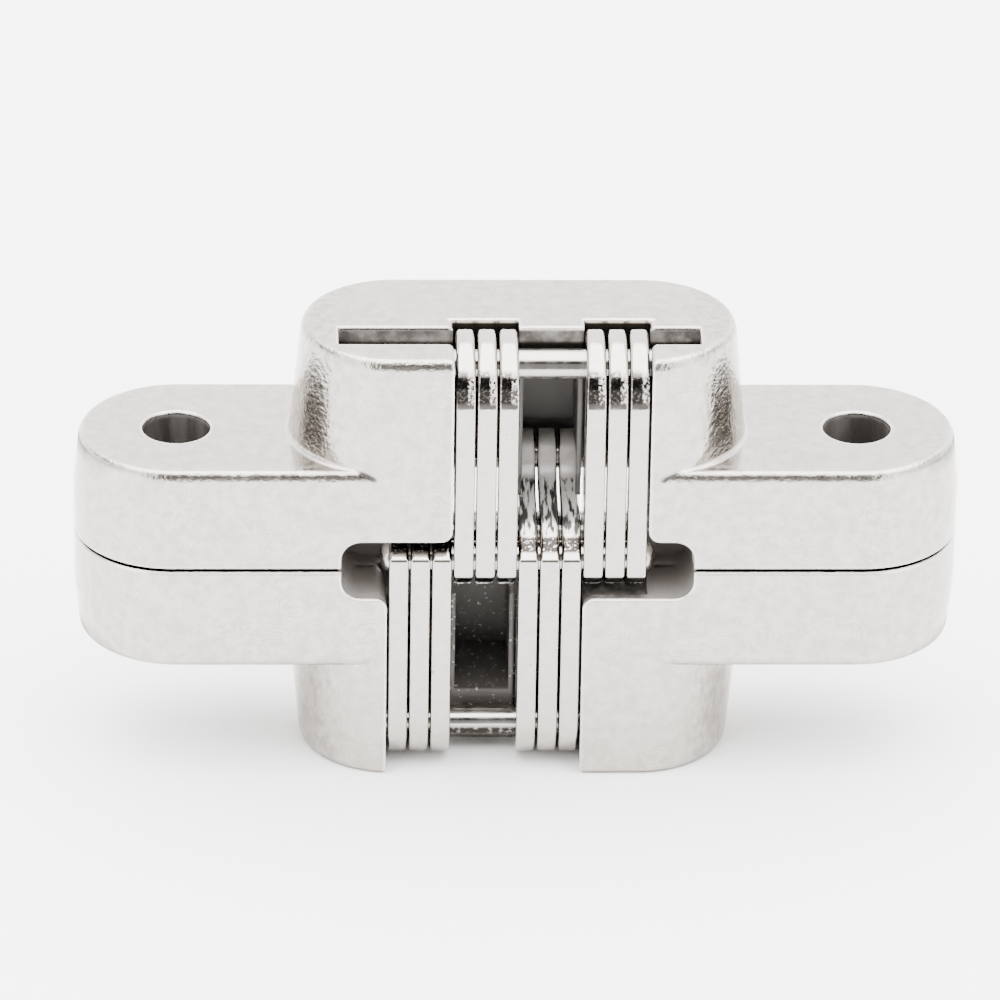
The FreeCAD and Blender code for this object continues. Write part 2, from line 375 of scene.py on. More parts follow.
def leaf_places(shading):
    """Heights and distances that say where a point of a leaf lies, in metres.

    Inside a stadium outline the depth is its radius less the distance from the line between its
    two end centres. The block's centres and radius shrink with the height above the ears.
    """
    split = shading.add("ShaderNodeSeparateXYZ")
    shading.feed(split.inputs[0], shading.coordinates)
    along = shading.math("ABSOLUTE", split.outputs[0])
    height = shading.math("ABSOLUTE", split.outputs[2])
    across = split.outputs[1]

    def depth_in(end_station, centre, radius):
        """Depth inside a stadium: its radius less the distance from its middle line."""
        past_end = shading.math("MAXIMUM", shading.math("SUBTRACT", along, end_station), 0.0)
        aside = shading.math("SUBTRACT", across, centre)
        reach = shading.math("POWER", past_end, 2.0)
        reach = shading.math("ADD", reach, shading.math("POWER", aside, 2.0))
        return shading.math("SUBTRACT", radius, shading.math("SQRT", reach))

    rise = shading.straight_ramp(height, ear_top * MM, leaf_top * MM, 0.0, 1.0)

    def tapered(low, high):
        """Straight change over the block from its foot to its top."""
        return shading.straight_ramp(rise, 0.0, 1.0, low * MM, high * MM)

    ear_side = depth_in(ear_end_station * MM, 0.0, half_width * MM)
    block_side = depth_in(tapered(block_end_station, block_top_end_station),
                          tapered(0.0, block_top_radius - half_width),
                          tapered(half_width, block_top_radius))
    ear_roof = shading.math("SUBTRACT", ear_top * MM, height)
    block_roof = shading.math("SUBTRACT", leaf_top * MM, height)
    face = shading.math("SUBTRACT", height, face_height * MM)
    ear_depth = shading.math("MINIMUM", shading.math("MINIMUM", ear_side, ear_roof), face)
    block_depth = shading.math("MINIMUM", shading.math("MINIMUM", block_side, block_roof), face)
    return {
        "depth": shading.math("MAXIMUM", ear_depth, block_depth),
        "block_rim": shading.math("ADD", shading.math("ABSOLUTE", block_side),
                                  shading.math("ABSOLUTE", block_roof)),
        "ear_rim": shading.math("ADD", shading.math("ABSOLUTE", ear_side),
                                shading.math("ABSOLUTE", ear_roof)),
        "beyond_block": shading.math("LESS_THAN", block_side, -0.1 * MM),
        "along": along,
        "height": height,
        "signed_height": split.outputs[2],
        "across": across,
    }


def hole_mask(shading, places):
    """1 inside the two screw holes, and 0 outside them."""
    aside = shading.math("SUBTRACT", places["along"], screw_hole_station * MM)
    reach = shading.math("ADD", shading.math("POWER", aside, 2.0),
                         shading.math("POWER", places["across"], 2.0))
    near = shading.math("LESS_THAN", shading.math("SQRT", reach), (countersink_radius + 0.125) * MM)
    return shading.math("MULTIPLY", near, shading.ramp(places["depth"], 0.1 * MM, 0.7 * MM))


def rub_marks(shading):
    """Whorls that tumbling leaves: fine rings round scattered centres, bent by a slow noise.

    The rings are the sine of the distance to the nearest centre. They fade out towards that centre
    and in and out with a second noise, so that only arcs are left.
    """
    bend = shading.add("ShaderNodeTexNoise")
    shading.feed(bend.inputs["Vector"], shading.coordinates)
    bend.inputs["Scale"].default_value = 300.0
    bend.inputs["Detail"].default_value = 3.0
    shift = shading.add("ShaderNodeVectorMath", operation="SCALE")
    shading.feed(shift.inputs[0], bend.outputs["Color"])
    shift.inputs["Scale"].default_value = 0.004
    moved = shading.add("ShaderNodeVectorMath", operation="ADD")
    shading.feed(moved.inputs[0], shading.coordinates)
    shading.feed(moved.inputs[1], shift.outputs[0])
    cells = shading.add("ShaderNodeTexVoronoi")
    shading.feed(cells.inputs["Vector"], moved.outputs[0])
    cells.inputs["Scale"].default_value = 130.0
    rings = shading.math("SINE", shading.math("MULTIPLY", cells.outputs["Distance"], 190.0))
    fade = shading.ramp(shading.noise(240.0, detail=2.0), 0.42, 0.68)
    away = shading.ramp(cells.outputs["Distance"], 0.22, 0.48)
    return shading.math("MULTIPLY", shading.math("MULTIPLY", rings, fade), away)


def pits(shading, scale, size, share):
    """1 in scattered small pits: a dot round some of the centres of a random pattern."""
    cells = shading.add("ShaderNodeTexVoronoi")
    shading.feed(cells.inputs["Vector"], shading.coordinates)
    cells.inputs["Scale"].default_value = scale
    dot = shading.ramp(cells.outputs["Distance"], size, size * 0.4)
    split = shading.add("ShaderNodeSeparateColor")
    shading.feed(split.inputs[0], cells.outputs["Color"])
    chosen = shading.math("LESS_THAN", split.outputs[0], share)
    return shading.math("MULTIPLY", dot, chosen)


def plated_casting():
    """Zinc casting, tumbled and nickel plated: rub marks and small pits, rougher at its rims.

    The rims are lighter: burnished, and given a painted highlight. The round ends of the block keep
    the grain of the mould, darkened in streaks that are partly a painted dark reflection. The pockets
    are dull in finish and their colour is painted shade, darkest behind the links' heads and at the
    foot of the channel's entry. The screw holes are painted shade as well, and in the notch the upper
    leaf is painted light and the lower leaf painted shade.
    """
    shading = Shading("plated_casting")
    places = leaf_places(shading)
    inside = shading.ramp(places["depth"], 0.20 * MM, 0.42 * MM)
    holes = hole_mask(shading, places)
    edges = shading.rounded(0.38 * MM)
    burnish_and_highlight = shading.rim_burnish_and_highlight(edges)
    on_block = shading.math("GREATER_THAN", places["height"], (ear_top + 0.05) * MM)
    ends = shading.math("MULTIPLY", shading.ramp(places["along"], 12.6 * MM, 15.2 * MM), on_block)
    grain = shading.ramp(shading.noise(1900.0, detail=4.0, stretch=(1.0, 1.0, 0.5)), 0.42, 0.66)
    marks = rub_marks(shading)
    mottle = shading.noise(1100.0, detail=5.0, roughness=0.65)
    mottle = shading.math("ADD", mottle, shading.math("MULTIPLY", marks, 0.12))
    mottle = shading.ramp(mottle, 0.25, 0.75)
    pit = pits(shading, 420.0, 0.11, 0.05)
    outer = shading.colour_mix(mottle, (0.360, 0.330, 0.300, 1), (0.485, 0.450, 0.413, 1))
    # The block's round ends are darkened in streaks: the mould's grain, and partly a painted dark reflection.
    outer = shading.colour_mix(shading.math("MULTIPLY", shading.math("MULTIPLY", grain, ends), 0.45), outer,
                               (0.20, 0.185, 0.17, 1))
    # Lighter rims: partly the burnish of tumbling and partly a painted highlight.
    outer = shading.colour_mix(burnish_and_highlight, outer, (0.86, 0.84, 0.82, 1))
    outer = shading.colour_mix(pit, outer, (0.13, 0.12, 0.115, 1))
    below = shading.math("LESS_THAN", places["signed_height"], 0.0)
    in_window = shading.math("MULTIPLY", shading.math("LESS_THAN", places["along"], 5.3 * MM), below)
    specks = shading.math("MULTIPLY", shading.ramp(shading.noise(3600.0, detail=1.0), 0.66, 0.74), in_window)
    # Inside the pockets the colour is painted shade, mottled dark.
    blotch = shading.ramp(shading.noise(620.0, detail=5.0, roughness=0.6), 0.38, 0.64)
    pocket_light_and_shade = shading.colour_mix(blotch, (0.060, 0.054, 0.049, 1), (0.19, 0.175, 0.16, 1))
    # Lower in the window the painted shade is an even dark.
    window_shade = shading.math("MULTIPLY", shading.math("LESS_THAN", places["along"], 5.3 * MM),
                               shading.ramp(places["height"], 15.6 * MM, 15.0 * MM))
    pocket_light_and_shade = shading.colour_mix(window_shade, pocket_light_and_shade, (0.105, 0.097, 0.090, 1))
    # Darkest painted shade behind the links' heads and at the foot of the channel's entry.
    slot_back = shading.ramp(places["across"], (6.3 - half_width) * MM, (6.7 - half_width) * MM)
    slot_foot = shading.ramp(places["height"], 17.35 * MM, 16.95 * MM)
    shaded = shading.math("MAXIMUM", slot_back, slot_foot)
    shaded = shading.math("MULTIPLY", shaded, shading.math("GREATER_THAN", places["height"], 15.6 * MM))
    pocket_light_and_shade = shading.colour_mix(shaded, pocket_light_and_shade, (0.020, 0.018, 0.016, 1))
    # In the notch the upper leaf is painted light and the lower leaf painted shade.
    in_notch = shading.math("MULTIPLY", shading.ramp(places["along"], 9.9 * MM, 10.4 * MM),
                            shading.ramp(places["height"], 5.0 * MM, 4.0 * MM))
    notch_light_and_shade = shading.colour_mix(below, (0.75, 0.70, 0.66, 1), (0.17, 0.158, 0.148, 1))
    pocket_light_and_shade = shading.colour_mix(in_notch, pocket_light_and_shade, notch_light_and_shade)
    inner = shading.colour_mix(specks, pocket_light_and_shade, (0.50, 0.48, 0.46, 1))
    colour = shading.colour_mix(inside, outer, inner)
    # The screw holes are painted shade: dark, in streaks.
    streak = shading.ramp(shading.noise(700.0, detail=3.0, stretch=(1.0, 0.6, 0.12)), 0.35, 0.7)
    bore = shading.colour_mix(streak, (0.030, 0.026, 0.023, 1), (0.085, 0.077, 0.070, 1))
    colour = shading.colour_mix(holes, colour, bore)
    near_block_rim = shading.ramp(places["block_rim"], 1.15 * MM, 0.45 * MM)
    near_ear_rim = shading.math("MULTIPLY", shading.ramp(places["ear_rim"], 1.1 * MM, 0.4 * MM),
                                places["beyond_block"])
    rim = shading.math("MAXIMUM", near_block_rim, near_ear_rim)
    rub = shading.noise(900.0, detail=5.0, stretch=(1.0, 1.0, 0.35), distortion=1.5)
    roughness = shading.ramp(rub, 0.3, 0.7, 0.10, 0.17)
    roughness = shading.math("ADD", roughness, shading.math("MULTIPLY", inside, 0.35))
    plain = shading.math("MULTIPLY", inside, shading.math("SUBTRACT", 1.0, shaded))
    metallic = shading.math("SUBTRACT", 1.0, shading.math("MULTIPLY", plain, 0.9))
    waves = shading.bump(shading.noise(200.0, detail=2.0), 0.00005, 0.3, under=edges)
    skin = shading.noise(2600.0, detail=3.0)
    coarse = shading.math("MAXIMUM", shading.math("MULTIPLY", rim, 1.5), shading.math("MULTIPLY", ends, 0.75))
    height = shading.math("MULTIPLY", skin, shading.math("ADD", coarse, 0.08))
    normal = shading.bump(height, 0.00006, 0.9, under=waves)
    normal = shading.bump(marks, 0.0000016, 0.7, under=normal)
    normal = shading.bump(shading.math("MULTIPLY", pit, -1.0), 0.00004, 0.8, under=normal)
    return shading.finish(colour, metallic, roughness, normal)


def plated_link():
    """Stamped steel, bright plated: faint marks along the arm and a few pin-prick pits.

    On the plate's edges only, the crown of each head has painted shade down one side and painted light
    flecks on the other, the heel carries a band of painted shade with bright specks, and inside the
    leaf the stamp's streaks are drawn with painted highlights and shade, with the tail painted lighter.
    """
    shading = Shading("plated_link")
    split = shading.add("ShaderNodeSeparateXYZ")
    shading.feed(split.inputs[0], shading.coordinates)
    behind = shading.math("ADD", split.outputs[1], half_width * MM)
    height = shading.math("ABSOLUTE", split.outputs[2])
    facing = shading.add("ShaderNodeSeparateXYZ")
    shading.feed(facing.inputs[0], shading.add("ShaderNodeTexCoord").outputs["Normal"])
    on_edge = shading.ramp(shading.math("ABSOLUTE", facing.outputs[0]), 0.85, 0.60)
    fine = shading.noise(4200.0, detail=3.0, roughness=0.6)

    def between(value, low, high, soft):
        """1 between two limits in millimetres, with soft ends: a rising step times a falling one."""
        rise = shading.ramp(value, (low - soft) * MM, (low + soft) * MM)
        return shading.math("MULTIPLY", rise, shading.ramp(value, (high + soft) * MM, (high - soft) * MM))

    mottle = shading.ramp(shading.noise(1300.0, detail=5.0, roughness=0.65), 0.25, 0.75)
    colour = shading.colour_mix(mottle, (0.410, 0.378, 0.345, 1), (0.480, 0.445, 0.410, 1))
    pit = pits(shading, 900.0, 0.16, 0.07)
    colour = shading.colour_mix(pit, colour, (0.20, 0.19, 0.18, 1))

    inside = shading.math("MULTIPLY", shading.ramp(behind, 1.95 * MM, 2.25 * MM),
                          shading.ramp(height, 7.6 * MM, 6.9 * MM))
    inside = shading.math("MULTIPLY", inside, on_edge)
    # Inside the leaf the stamp's streaks are drawn with painted highlights and shade, and the tail is painted
    # lighter.
    torn_edge_light_and_shade = shading.noise(1300.0, detail=3.0, stretch=(2.4, 0.3, 1.0))
    torn_edge_light_and_shade = shading.colour_mix(shading.ramp(torn_edge_light_and_shade, 0.44, 0.55), (0.05, 0.046, 0.042, 1), (1.0, 0.97, 0.94, 1))
    tail = shading.math("MAXIMUM", shading.ramp(height, 3.1 * MM, 3.4 * MM),
                        shading.ramp(behind, 9.2 * MM, 9.8 * MM))
    colour = shading.colour_mix(inside, colour, shading.colour_mix(tail, torn_edge_light_and_shade, (0.80, 0.77, 0.74, 1)))

    # Over the heel a band of painted shade with bright specks.
    heel = shading.math("MULTIPLY", between(height, 1.0, 3.0, 0.1), between(behind, 0.85, 1.95, 0.12))
    heel = shading.math("MULTIPLY", heel, on_edge)
    heel_shade = shading.colour_mix(shading.ramp(fine, 0.56, 0.64), (0.032, 0.029, 0.026, 1),
                                   (0.50, 0.47, 0.44, 1))
    colour = shading.colour_mix(heel, colour, heel_shade)

    # On the crown of each head: painted shade down one side and painted light flecks on the other.
    crown = shading.math("MULTIPLY", between(split.outputs[2], 14.6, 16.9, 0.2), on_edge)
    from_left = shading.math("ADD", split.outputs[0], 3 * lamination_pitch * MM)
    place_in_plate = shading.math("FRACT", shading.math("DIVIDE", from_left, lamination_pitch * MM))
    fleck_side = shading.ramp(place_in_plate, 0.54, 0.66)
    crown_shade = shading.math("MULTIPLY", crown, shading.math("SUBTRACT", 1.0, fleck_side))
    crown_shade = shading.math("MULTIPLY", crown_shade, shading.ramp(fine, 0.62, 0.52))
    colour = shading.colour_mix(crown_shade, colour, (0.12, 0.110, 0.100, 1))
    light_flecks = shading.math("MULTIPLY", crown, fleck_side)
    light_flecks = shading.math("MULTIPLY", light_flecks, shading.ramp(fine, 0.47, 0.55))
    colour = shading.colour_mix(light_flecks, colour, (0.50, 0.48, 0.46, 1))

    streaks = shading.noise(1500.0, detail=3.0, stretch=(1.0, 1.0, 0.25))
    roughness = shading.ramp(streaks, 0.3, 0.7, 0.06, 0.13)
    roughness = shading.math("ADD", roughness, shading.math("MULTIPLY", inside, 0.32))
    plain = shading.math("MAXIMUM", light_flecks, shading.math("MULTIPLY", inside, 0.6))
    metallic = shading.math("SUBTRACT", 1.0, plain)
    normal = shading.bump(streaks, 0.000012, 0.4)
    normal = shading.bump(shading.noise(2600.0, detail=2.0), 0.000012, 0.5, under=normal)
    return shading.finish(colour, metallic, roughness, normal)


def steel_pin():
    """Drawn steel: fine rings round the pin, a soft sheen, and mottled painted shade under the lowest pin."""
    shading = Shading("steel_pin")
    rings = shading.noise(1600.0, detail=4.0, stretch=(1.0, 0.2, 0.2))
    colour = shading.colour_mix(rings, (0.36, 0.340, 0.320, 1), (0.46, 0.436, 0.412, 1))
    split = shading.add("ShaderNodeSeparateXYZ")
    shading.feed(split.inputs[0], shading.coordinates)
    low = -slider_pin_place[1]
    # The underside of the lowest pin is painted shade, mottled dark.
    underside = shading.ramp(split.outputs[2], (low + 0.2) * MM, (low - 0.15) * MM)
    underside_shade = shading.colour_mix(shading.ramp(shading.noise(2600.0, detail=3.0), 0.52, 0.66),
                                (0.035, 0.030, 0.027, 1), (0.30, 0.28, 0.26, 1))
    colour = shading.colour_mix(underside, colour, underside_shade)
    roughness = shading.ramp(rings, 0.3, 0.7, 0.14, 0.24)
    normal = shading.bump(rings, 0.00001, 0.3)
    normal = shading.bump(shading.noise(1400.0, detail=3.0), 0.00002, 0.5, under=normal)
    return shading.finish(colour, 1.0, roughness, normal)


def stadium_reach(directions, length, width, inset):
    """Distance from the hinge's middle to a leaf's outline in each direction in the XY plane.

    Along a straight side it is the side's distance over the direction's sine. Round an end it is
    the far root of the end circle's equation. A smaller width draws in the back side alone.
    """
    radius = width / 2 - inset
    centre_y = (width - 2 * half_width) / 2
    end_x = (length - width) / 2
    cosine = np.cos(directions)
    sine = np.sin(directions)
    side_y = np.where(sine < 0, centre_y - radius, centre_y + radius)
    straight = side_y / np.where(np.abs(sine) < 1e-9, 1e-9, sine)
    towards = np.abs(cosine) * end_x + sine * centre_y
    root = np.maximum(towards ** 2 - (end_x ** 2 + centre_y ** 2 - radius ** 2), 0)
    round_end = towards + np.sqrt(root)
    on_side = (np.abs(straight * cosine) <= end_x) & (straight > 0)
    return np.where(on_side, straight, round_end)


def leaf_skin():
    """Outside of a leaf as rings of points: a distance from the middle in each direction, by height.

    Each ring is the larger of the ears' outline and the block's, drawn in at the rims by a quarter
    ellipse. Over the ears' top the ring falls back to the block with a hollow blend, a quarter
    circle that fades out where the block's end meets the front face.
    """
    directions = np.linspace(0, 2 * np.pi, 840, endpoint=False) + 0.003
    quarter = np.radians(np.linspace(0, 90, 8))
    rings = []

    def ear(height, inset=0.0):
        """Ears' outline at a height: over the upper half its length shrinks in a straight taper."""
        share = np.clip((height - ear_top / 2) / (ear_top / 2 - ear_rim_height), 0, 1)
        length = ear_length - (ear_length - ear_top_length) * share
        return stadium_reach(directions, length, 2 * half_width, inset)

    def block(height, inset=0.0):
        """Block's outline at a height: length and width shrink straight from the ears' top."""
        share = np.clip((height - ear_top) / (leaf_top - block_rim_height - ear_top), 0, 1)
        length = block_length - (block_length - block_top_length) * share
        width = 2 * half_width - (2 * half_width - block_top_width) * share
        return stadium_reach(directions, length, width, inset)

    for angle in quarter:
        drop = face_rim * (1 - math.sin(angle))
        rings.append((face_height + face_rim * (1 - math.cos(angle)), ear(0.0, drop)))
    for height in (1.6, 3.0, ear_top / 2, 5.4, 6.6):
        rings.append((height, ear(height)))
    for angle in quarter:
        height = ear_top - ear_rim_height * (1 - math.sin(angle))
        drawn_in = ear(height, ear_rim_across * (1 - math.cos(angle)))
        rings.append((height, np.maximum(drawn_in, block(height))))
    station = np.abs(block(ear_top) * np.cos(directions))
    fade = np.clip((station - 13.0) / 2.5, 0.02, 1)
    at_back = np.sin(directions) > 0
    blend = blend_radius * np.where(at_back, 1, fade * fade * (3 - 2 * fade))
    for angle in quarter[:-1]:
        height = ear_top + blend * (1 - math.cos(angle))
        spread = np.minimum(block(height, -blend * (1 - math.sin(angle))), ear(height))
        rings.append((height, np.maximum(block(height), spread)))
    for height in np.linspace(ear_top + blend_radius, leaf_top - block_rim_height, 6)[:-1]:
        rings.append((height, block(height)))
    for angle in quarter:
        height = leaf_top - block_rim_height * (1 - math.sin(angle))
        rings.append((height, block(height, block_rim_across * (1 - math.cos(angle)))))
    count = len(directions)
    heading = np.stack([np.cos(directions), np.sin(directions)], axis=1)
    sheets = [np.column_stack([heading * reach[:, None], np.broadcast_to(height, count)])
              for height, reach in rings]
    vertices = np.concatenate(sheets) * MM
    grid = np.arange(len(rings) * count).reshape(len(rings), count)
    after = np.roll(grid, -1, axis=1)
    quads = np.stack([grid[:-1], after[:-1], after[1:], grid[1:]], axis=-1).reshape(-1, 4)
    return vertices, quads.tolist() + [grid[0, ::-1].tolist(), grid[-1].tolist()]


def closed_mesh(name, vertices, faces):
    """Mesh with its doubles merged and its faces turned outwards."""
    mesh = bpy.data.meshes.new(name)
    mesh.from_pydata(np.asarray(vertices).tolist(), [], faces)
    work = bmesh.new()
    work.from_mesh(mesh)
    bmesh.ops.remove_doubles(work, verts=work.verts, dist=1e-7)
    bmesh.ops.recalc_face_normals(work, faces=work.faces)
    work.to_mesh(mesh)
    work.free()
    return mesh


def prism(name, profile, low, high, along="x"):
    """Closed bar: a profile carried from one station to another, along X or from front to back.

    Along X the profile's rows are (across, height), and from front to back they are (x, height).
    """
    profile = np.asarray(profile, dtype=float)
    count = len(profile)
    ends = []
    for station in (low, high):
        if along == "x":
            ends.append(place(profile, station))
        else:
            ends.append(np.column_stack([profile[:, 0], np.full(count, station - half_width),
                                         profile[:, 1]]) * MM)
    near = np.arange(count)
    after = (near + 1) % count
    sides = np.stack([near, after, after + count, near + count], axis=-1)
    faces = sides.tolist() + [near[::-1].tolist(), (near + count).tolist()]
    return closed_mesh(name, np.concatenate(ends), faces)


def box_profile(across_start, across_end, low, high):
    """Corners of an upright rectangle, in (across, height)."""
    return [(across_start, low), (across_end, low), (across_end, high), (across_start, high)]


def swung(spot, about, degrees):
    """A place turned about another by the plane turn's sines and cosines, backwards and down."""
    angle = np.radians(degrees)
    across = spot[0] - about[0]
    height = spot[1] - about[1]
    return (about[0] + across * np.cos(angle) + height * np.sin(angle),
            about[1] - across * np.sin(angle) + height * np.cos(angle))


def channel_profile():
    """Outline of all places within the channel's half width of the slider pin's path.

    The path is the pin's place in its own leaf at each swing of the hinge from shut to open.
    """
    swings = np.linspace(0, 180, 25)
    fixed = (fixed_pin_place[0], -fixed_pin_place[1])
    centre = swung(centre_pin_place, fixed, fold_share * swings)
    arm = (centre[0] + slider_pin_place[0] - centre_pin_place[0], centre[1] - slider_pin_place[1])
    across, height = swung(arm, centre, (1 - fold_share) * swings)
    path = np.column_stack([across, -height])
    heading = np.gradient(path, axis=0)
    heading /= np.linalg.norm(heading, axis=1)[:, None]
    side = np.column_stack([-heading[:, 1], heading[:, 0]]) * channel_half_width
    sweep = np.radians(np.linspace(0, 180, 14))[1:-1, None]
    far_cap = path[-1] + side[-1] * np.cos(sweep) + heading[-1] * channel_half_width * np.sin(sweep)
    near_cap = path[0] - side[0] * np.cos(sweep) - heading[0] * channel_half_width * np.sin(sweep)
    return np.concatenate([path + side, far_cap, (path - side)[::-1], near_cap])


def screw_hole_cutter(name, x):
    """Turned cutter for a screw hole: a cone for the screw's head below and a straight bore above."""
    profile = np.array([(countersink_radius, -2.0), (countersink_radius, face_height),
                        (screw_hole_radius, face_height + countersink_depth),
                        (screw_hole_radius, ear_top + 2.0)])
    sweep = np.linspace(0, 2 * np.pi, 72, endpoint=False)
    rings = profile[:, 0][:, None, None] * np.stack([np.cos(sweep), np.sin(sweep)], axis=1)[None]
    heights = np.broadcast_to(profile[:, 1][:, None, None], rings.shape[:2] + (1,))
    vertices = (np.concatenate([rings, heights], axis=2).reshape(-1, 3) + (x, 0, 0)) * MM
    grid = np.arange(len(profile) * len(sweep)).reshape(len(profile), len(sweep))
    after = np.roll(grid, -1, axis=1)
    quads = np.stack([grid[:-1], after[:-1], after[1:], grid[1:]], axis=-1).reshape(-1, 4)
    return closed_mesh(name, vertices, quads.tolist() + [grid[0, ::-1].tolist(), grid[-1].tolist()])


def leaf_cutters():
    """Cutters for all that is cast open in a leaf, as the upper leaf lies.

    Both outer walls of the link slots have a hollow over the mouth and a rounded corner at the
    top. Each is a quarter circle on the left wall, mirrored for the right one.
    """
    low = -4.0
    high = leaf_top + 4.0
    pack = pack_half_length
    wall = left_slot_wall
    heel_and_tail = [(0.9, low, 0.05), (20.0, low, 0.05), (20.0, 3.0, 0.05), (14.75, 3.0, 0.05),
                     (14.75, 6.2, 1.0), (slot_depth, 6.2, 0.05), (slot_depth, 3.15, 0.05),
                     (0.9, 3.15, 0.05)]
    mouth = [(-13.9, low, 0.05), (13.9, low, 0.05), (13.9, 2.55, 1.6), (-13.9, 2.55, 1.6)]
    over_pin = np.radians(np.linspace(0, 180, 18))
    seat = np.column_stack([np.cos(over_pin), np.sin(over_pin)]) * pin_radius + fixed_pin_place
    seat = np.concatenate([seat, [(fixed_pin_place[0] - pin_radius, low),
                                  (fixed_pin_place[0] + pin_radius, low)]])
    hollow = np.radians(np.linspace(-90, 0, 10))
    hollow = np.column_stack([np.cos(hollow), np.sin(hollow)]) * 0.9 + (wall - 0.9, 3.45)
    left_wall = np.concatenate([[(wall + 1.0, 0.05), (wall - 0.9, 0.05)], hollow, [(wall + 1.0, 3.45)]])
    right_wall = np.column_stack([group_spacing - left_wall[:, 0], left_wall[:, 1]])
    entry_front = slider_pin_place[0] - entry_half_width
    entry_back = slider_pin_place[0] + entry_half_width
    turn = np.radians(np.linspace(90, 0, 10))
    corner = np.column_stack([np.cos(turn) - 1, np.sin(turn) - 1]) * slot_corner_radius + (wall, leaf_top)
    left_corner = np.concatenate([corner, [(wall + 0.05, leaf_top - slot_corner_radius), (wall + 0.05, high),
                                           (wall - slot_corner_radius, high)]])
    right_corner = np.column_stack([group_spacing - left_corner[:, 0], left_corner[:, 1]])
    return [
        prism("cut_pocket", rounded_path(heel_and_tail, 0.12)[0], -pack, pack),
        prism("cut_left_arms", box_profile(-4.0, slot_depth, low, high), wall, 0.01),
        prism("cut_right_arms", box_profile(-4.0, slot_depth, low, high), group_spacing - 0.01, pack),
        prism("cut_window", box_profile(-4.0, window_depth, low, high), -0.01, group_spacing + 0.01),
        prism("cut_cell", box_profile(0.0, 14.2, low, 14.0), 0.4, group_spacing - 0.4),
        prism("cut_mouth", rounded_path(mouth, 0.12)[0], -4.0, 7.5, along="y"),
        prism("cut_left_wall", left_wall, -4.0, 7.5, along="y"),
        prism("cut_right_wall", right_wall, -4.0, 7.5, along="y"),
        prism("cut_channel", channel_profile(), -13.6, 13.6),
        prism("cut_entry", box_profile(entry_front, entry_back, slider_pin_place[1], high), -14.2, 14.2),
        prism("cut_left_corner", left_corner, -4.0, slot_depth, along="y"),
        prism("cut_right_corner", right_corner, -4.0, slot_depth, along="y"),
        prism("cut_seat", seat, -13.25, 13.25),
        screw_hole_cutter("cut_left_hole", -screw_hole_station),
        screw_hole_cutter("cut_right_hole", screw_hole_station),
    ]


def cast_leaf_mesh():
    """Skin of a leaf with all the cutters taken out of it."""
    vertices, faces = leaf_skin()
    whole = bpy.data.objects.new("whole_leaf", closed_mesh("whole_leaf", vertices, faces))
    bpy.context.scene.collection.objects.link(whole)
    helpers = []
    for mesh in leaf_cutters():
        helper = bpy.data.objects.new(mesh.name, mesh)
        bpy.context.scene.collection.objects.link(helper)
        helpers.append(helper)
        cut = whole.modifiers.new(mesh.name, "BOOLEAN")
        cut.operation = "DIFFERENCE"
        cut.solver = "MANIFOLD"
        cut.object = helper
    evaluated = whole.evaluated_get(bpy.context.evaluated_depsgraph_get())
    mesh = bpy.data.meshes.new_from_object(evaluated)
    for helper in helpers + [whole]:
        old = helper.data
        bpy.data.objects.remove(helper)
        bpy.data.meshes.remove(old)
    return mesh


def cast_leaf(name, node, mesh, turned_over, material, body):
    """A leaf casting from the common mesh, half a turn about the Y axis for the lower one."""
    copy = mesh.copy()
    work = bmesh.new()
    work.from_mesh(copy)
    bmesh.ops.remove_doubles(work, verts=work.verts, dist=4e-6)
    bmesh.ops.dissolve_degenerate(work, edges=work.edges, dist=2e-6)
    if turned_over:
        bmesh.ops.rotate(work, verts=work.verts, cent=(0, 0, 0), matrix=Matrix.Rotation(math.pi, 3, "Y"))
    work.to_mesh(copy)
    work.free()
    piece = finish_piece(name, copy, material, body, node, sharp=34.0)
    flat = piece.modifiers.new("flat_faces", "WEIGHTED_NORMAL")
    flat.keep_sharp = True
    return piece


def add_camera():
    """Camera fitted to the photograph: place and turn in the hinge's own frame."""
    azimuth, elevation, roll = (math.radians(value) for value in (-1.92, 28.09, 0.926))
    back = Vector((math.sin(azimuth) * math.cos(elevation),
                   -math.cos(azimuth) * math.cos(elevation), math.sin(elevation)))
    level = Vector((math.cos(azimuth), math.sin(azimuth), 0))
    over = back.cross(level)
    right = level * math.cos(roll) + over * math.sin(roll)
    up = over * math.cos(roll) - level * math.sin(roll)
    data = bpy.data.cameras.new("camera")
    data.sensor_width = 36.0
    data.lens = 36.0 * 9.0004
    data.clip_start = 0.01
    data.clip_end = 50.0
    camera = bpy.data.objects.new("camera", data)
    turn = Matrix((right, up, back)).transposed().to_4x4()
    target = Vector((-1.495, -half_width, 6.355)) * MM
    camera.matrix_world = Matrix.Translation(target + back * 704.65 * MM) @ turn
    bpy.context.scene.collection.objects.link(camera)
    bpy.context.scene.camera = camera


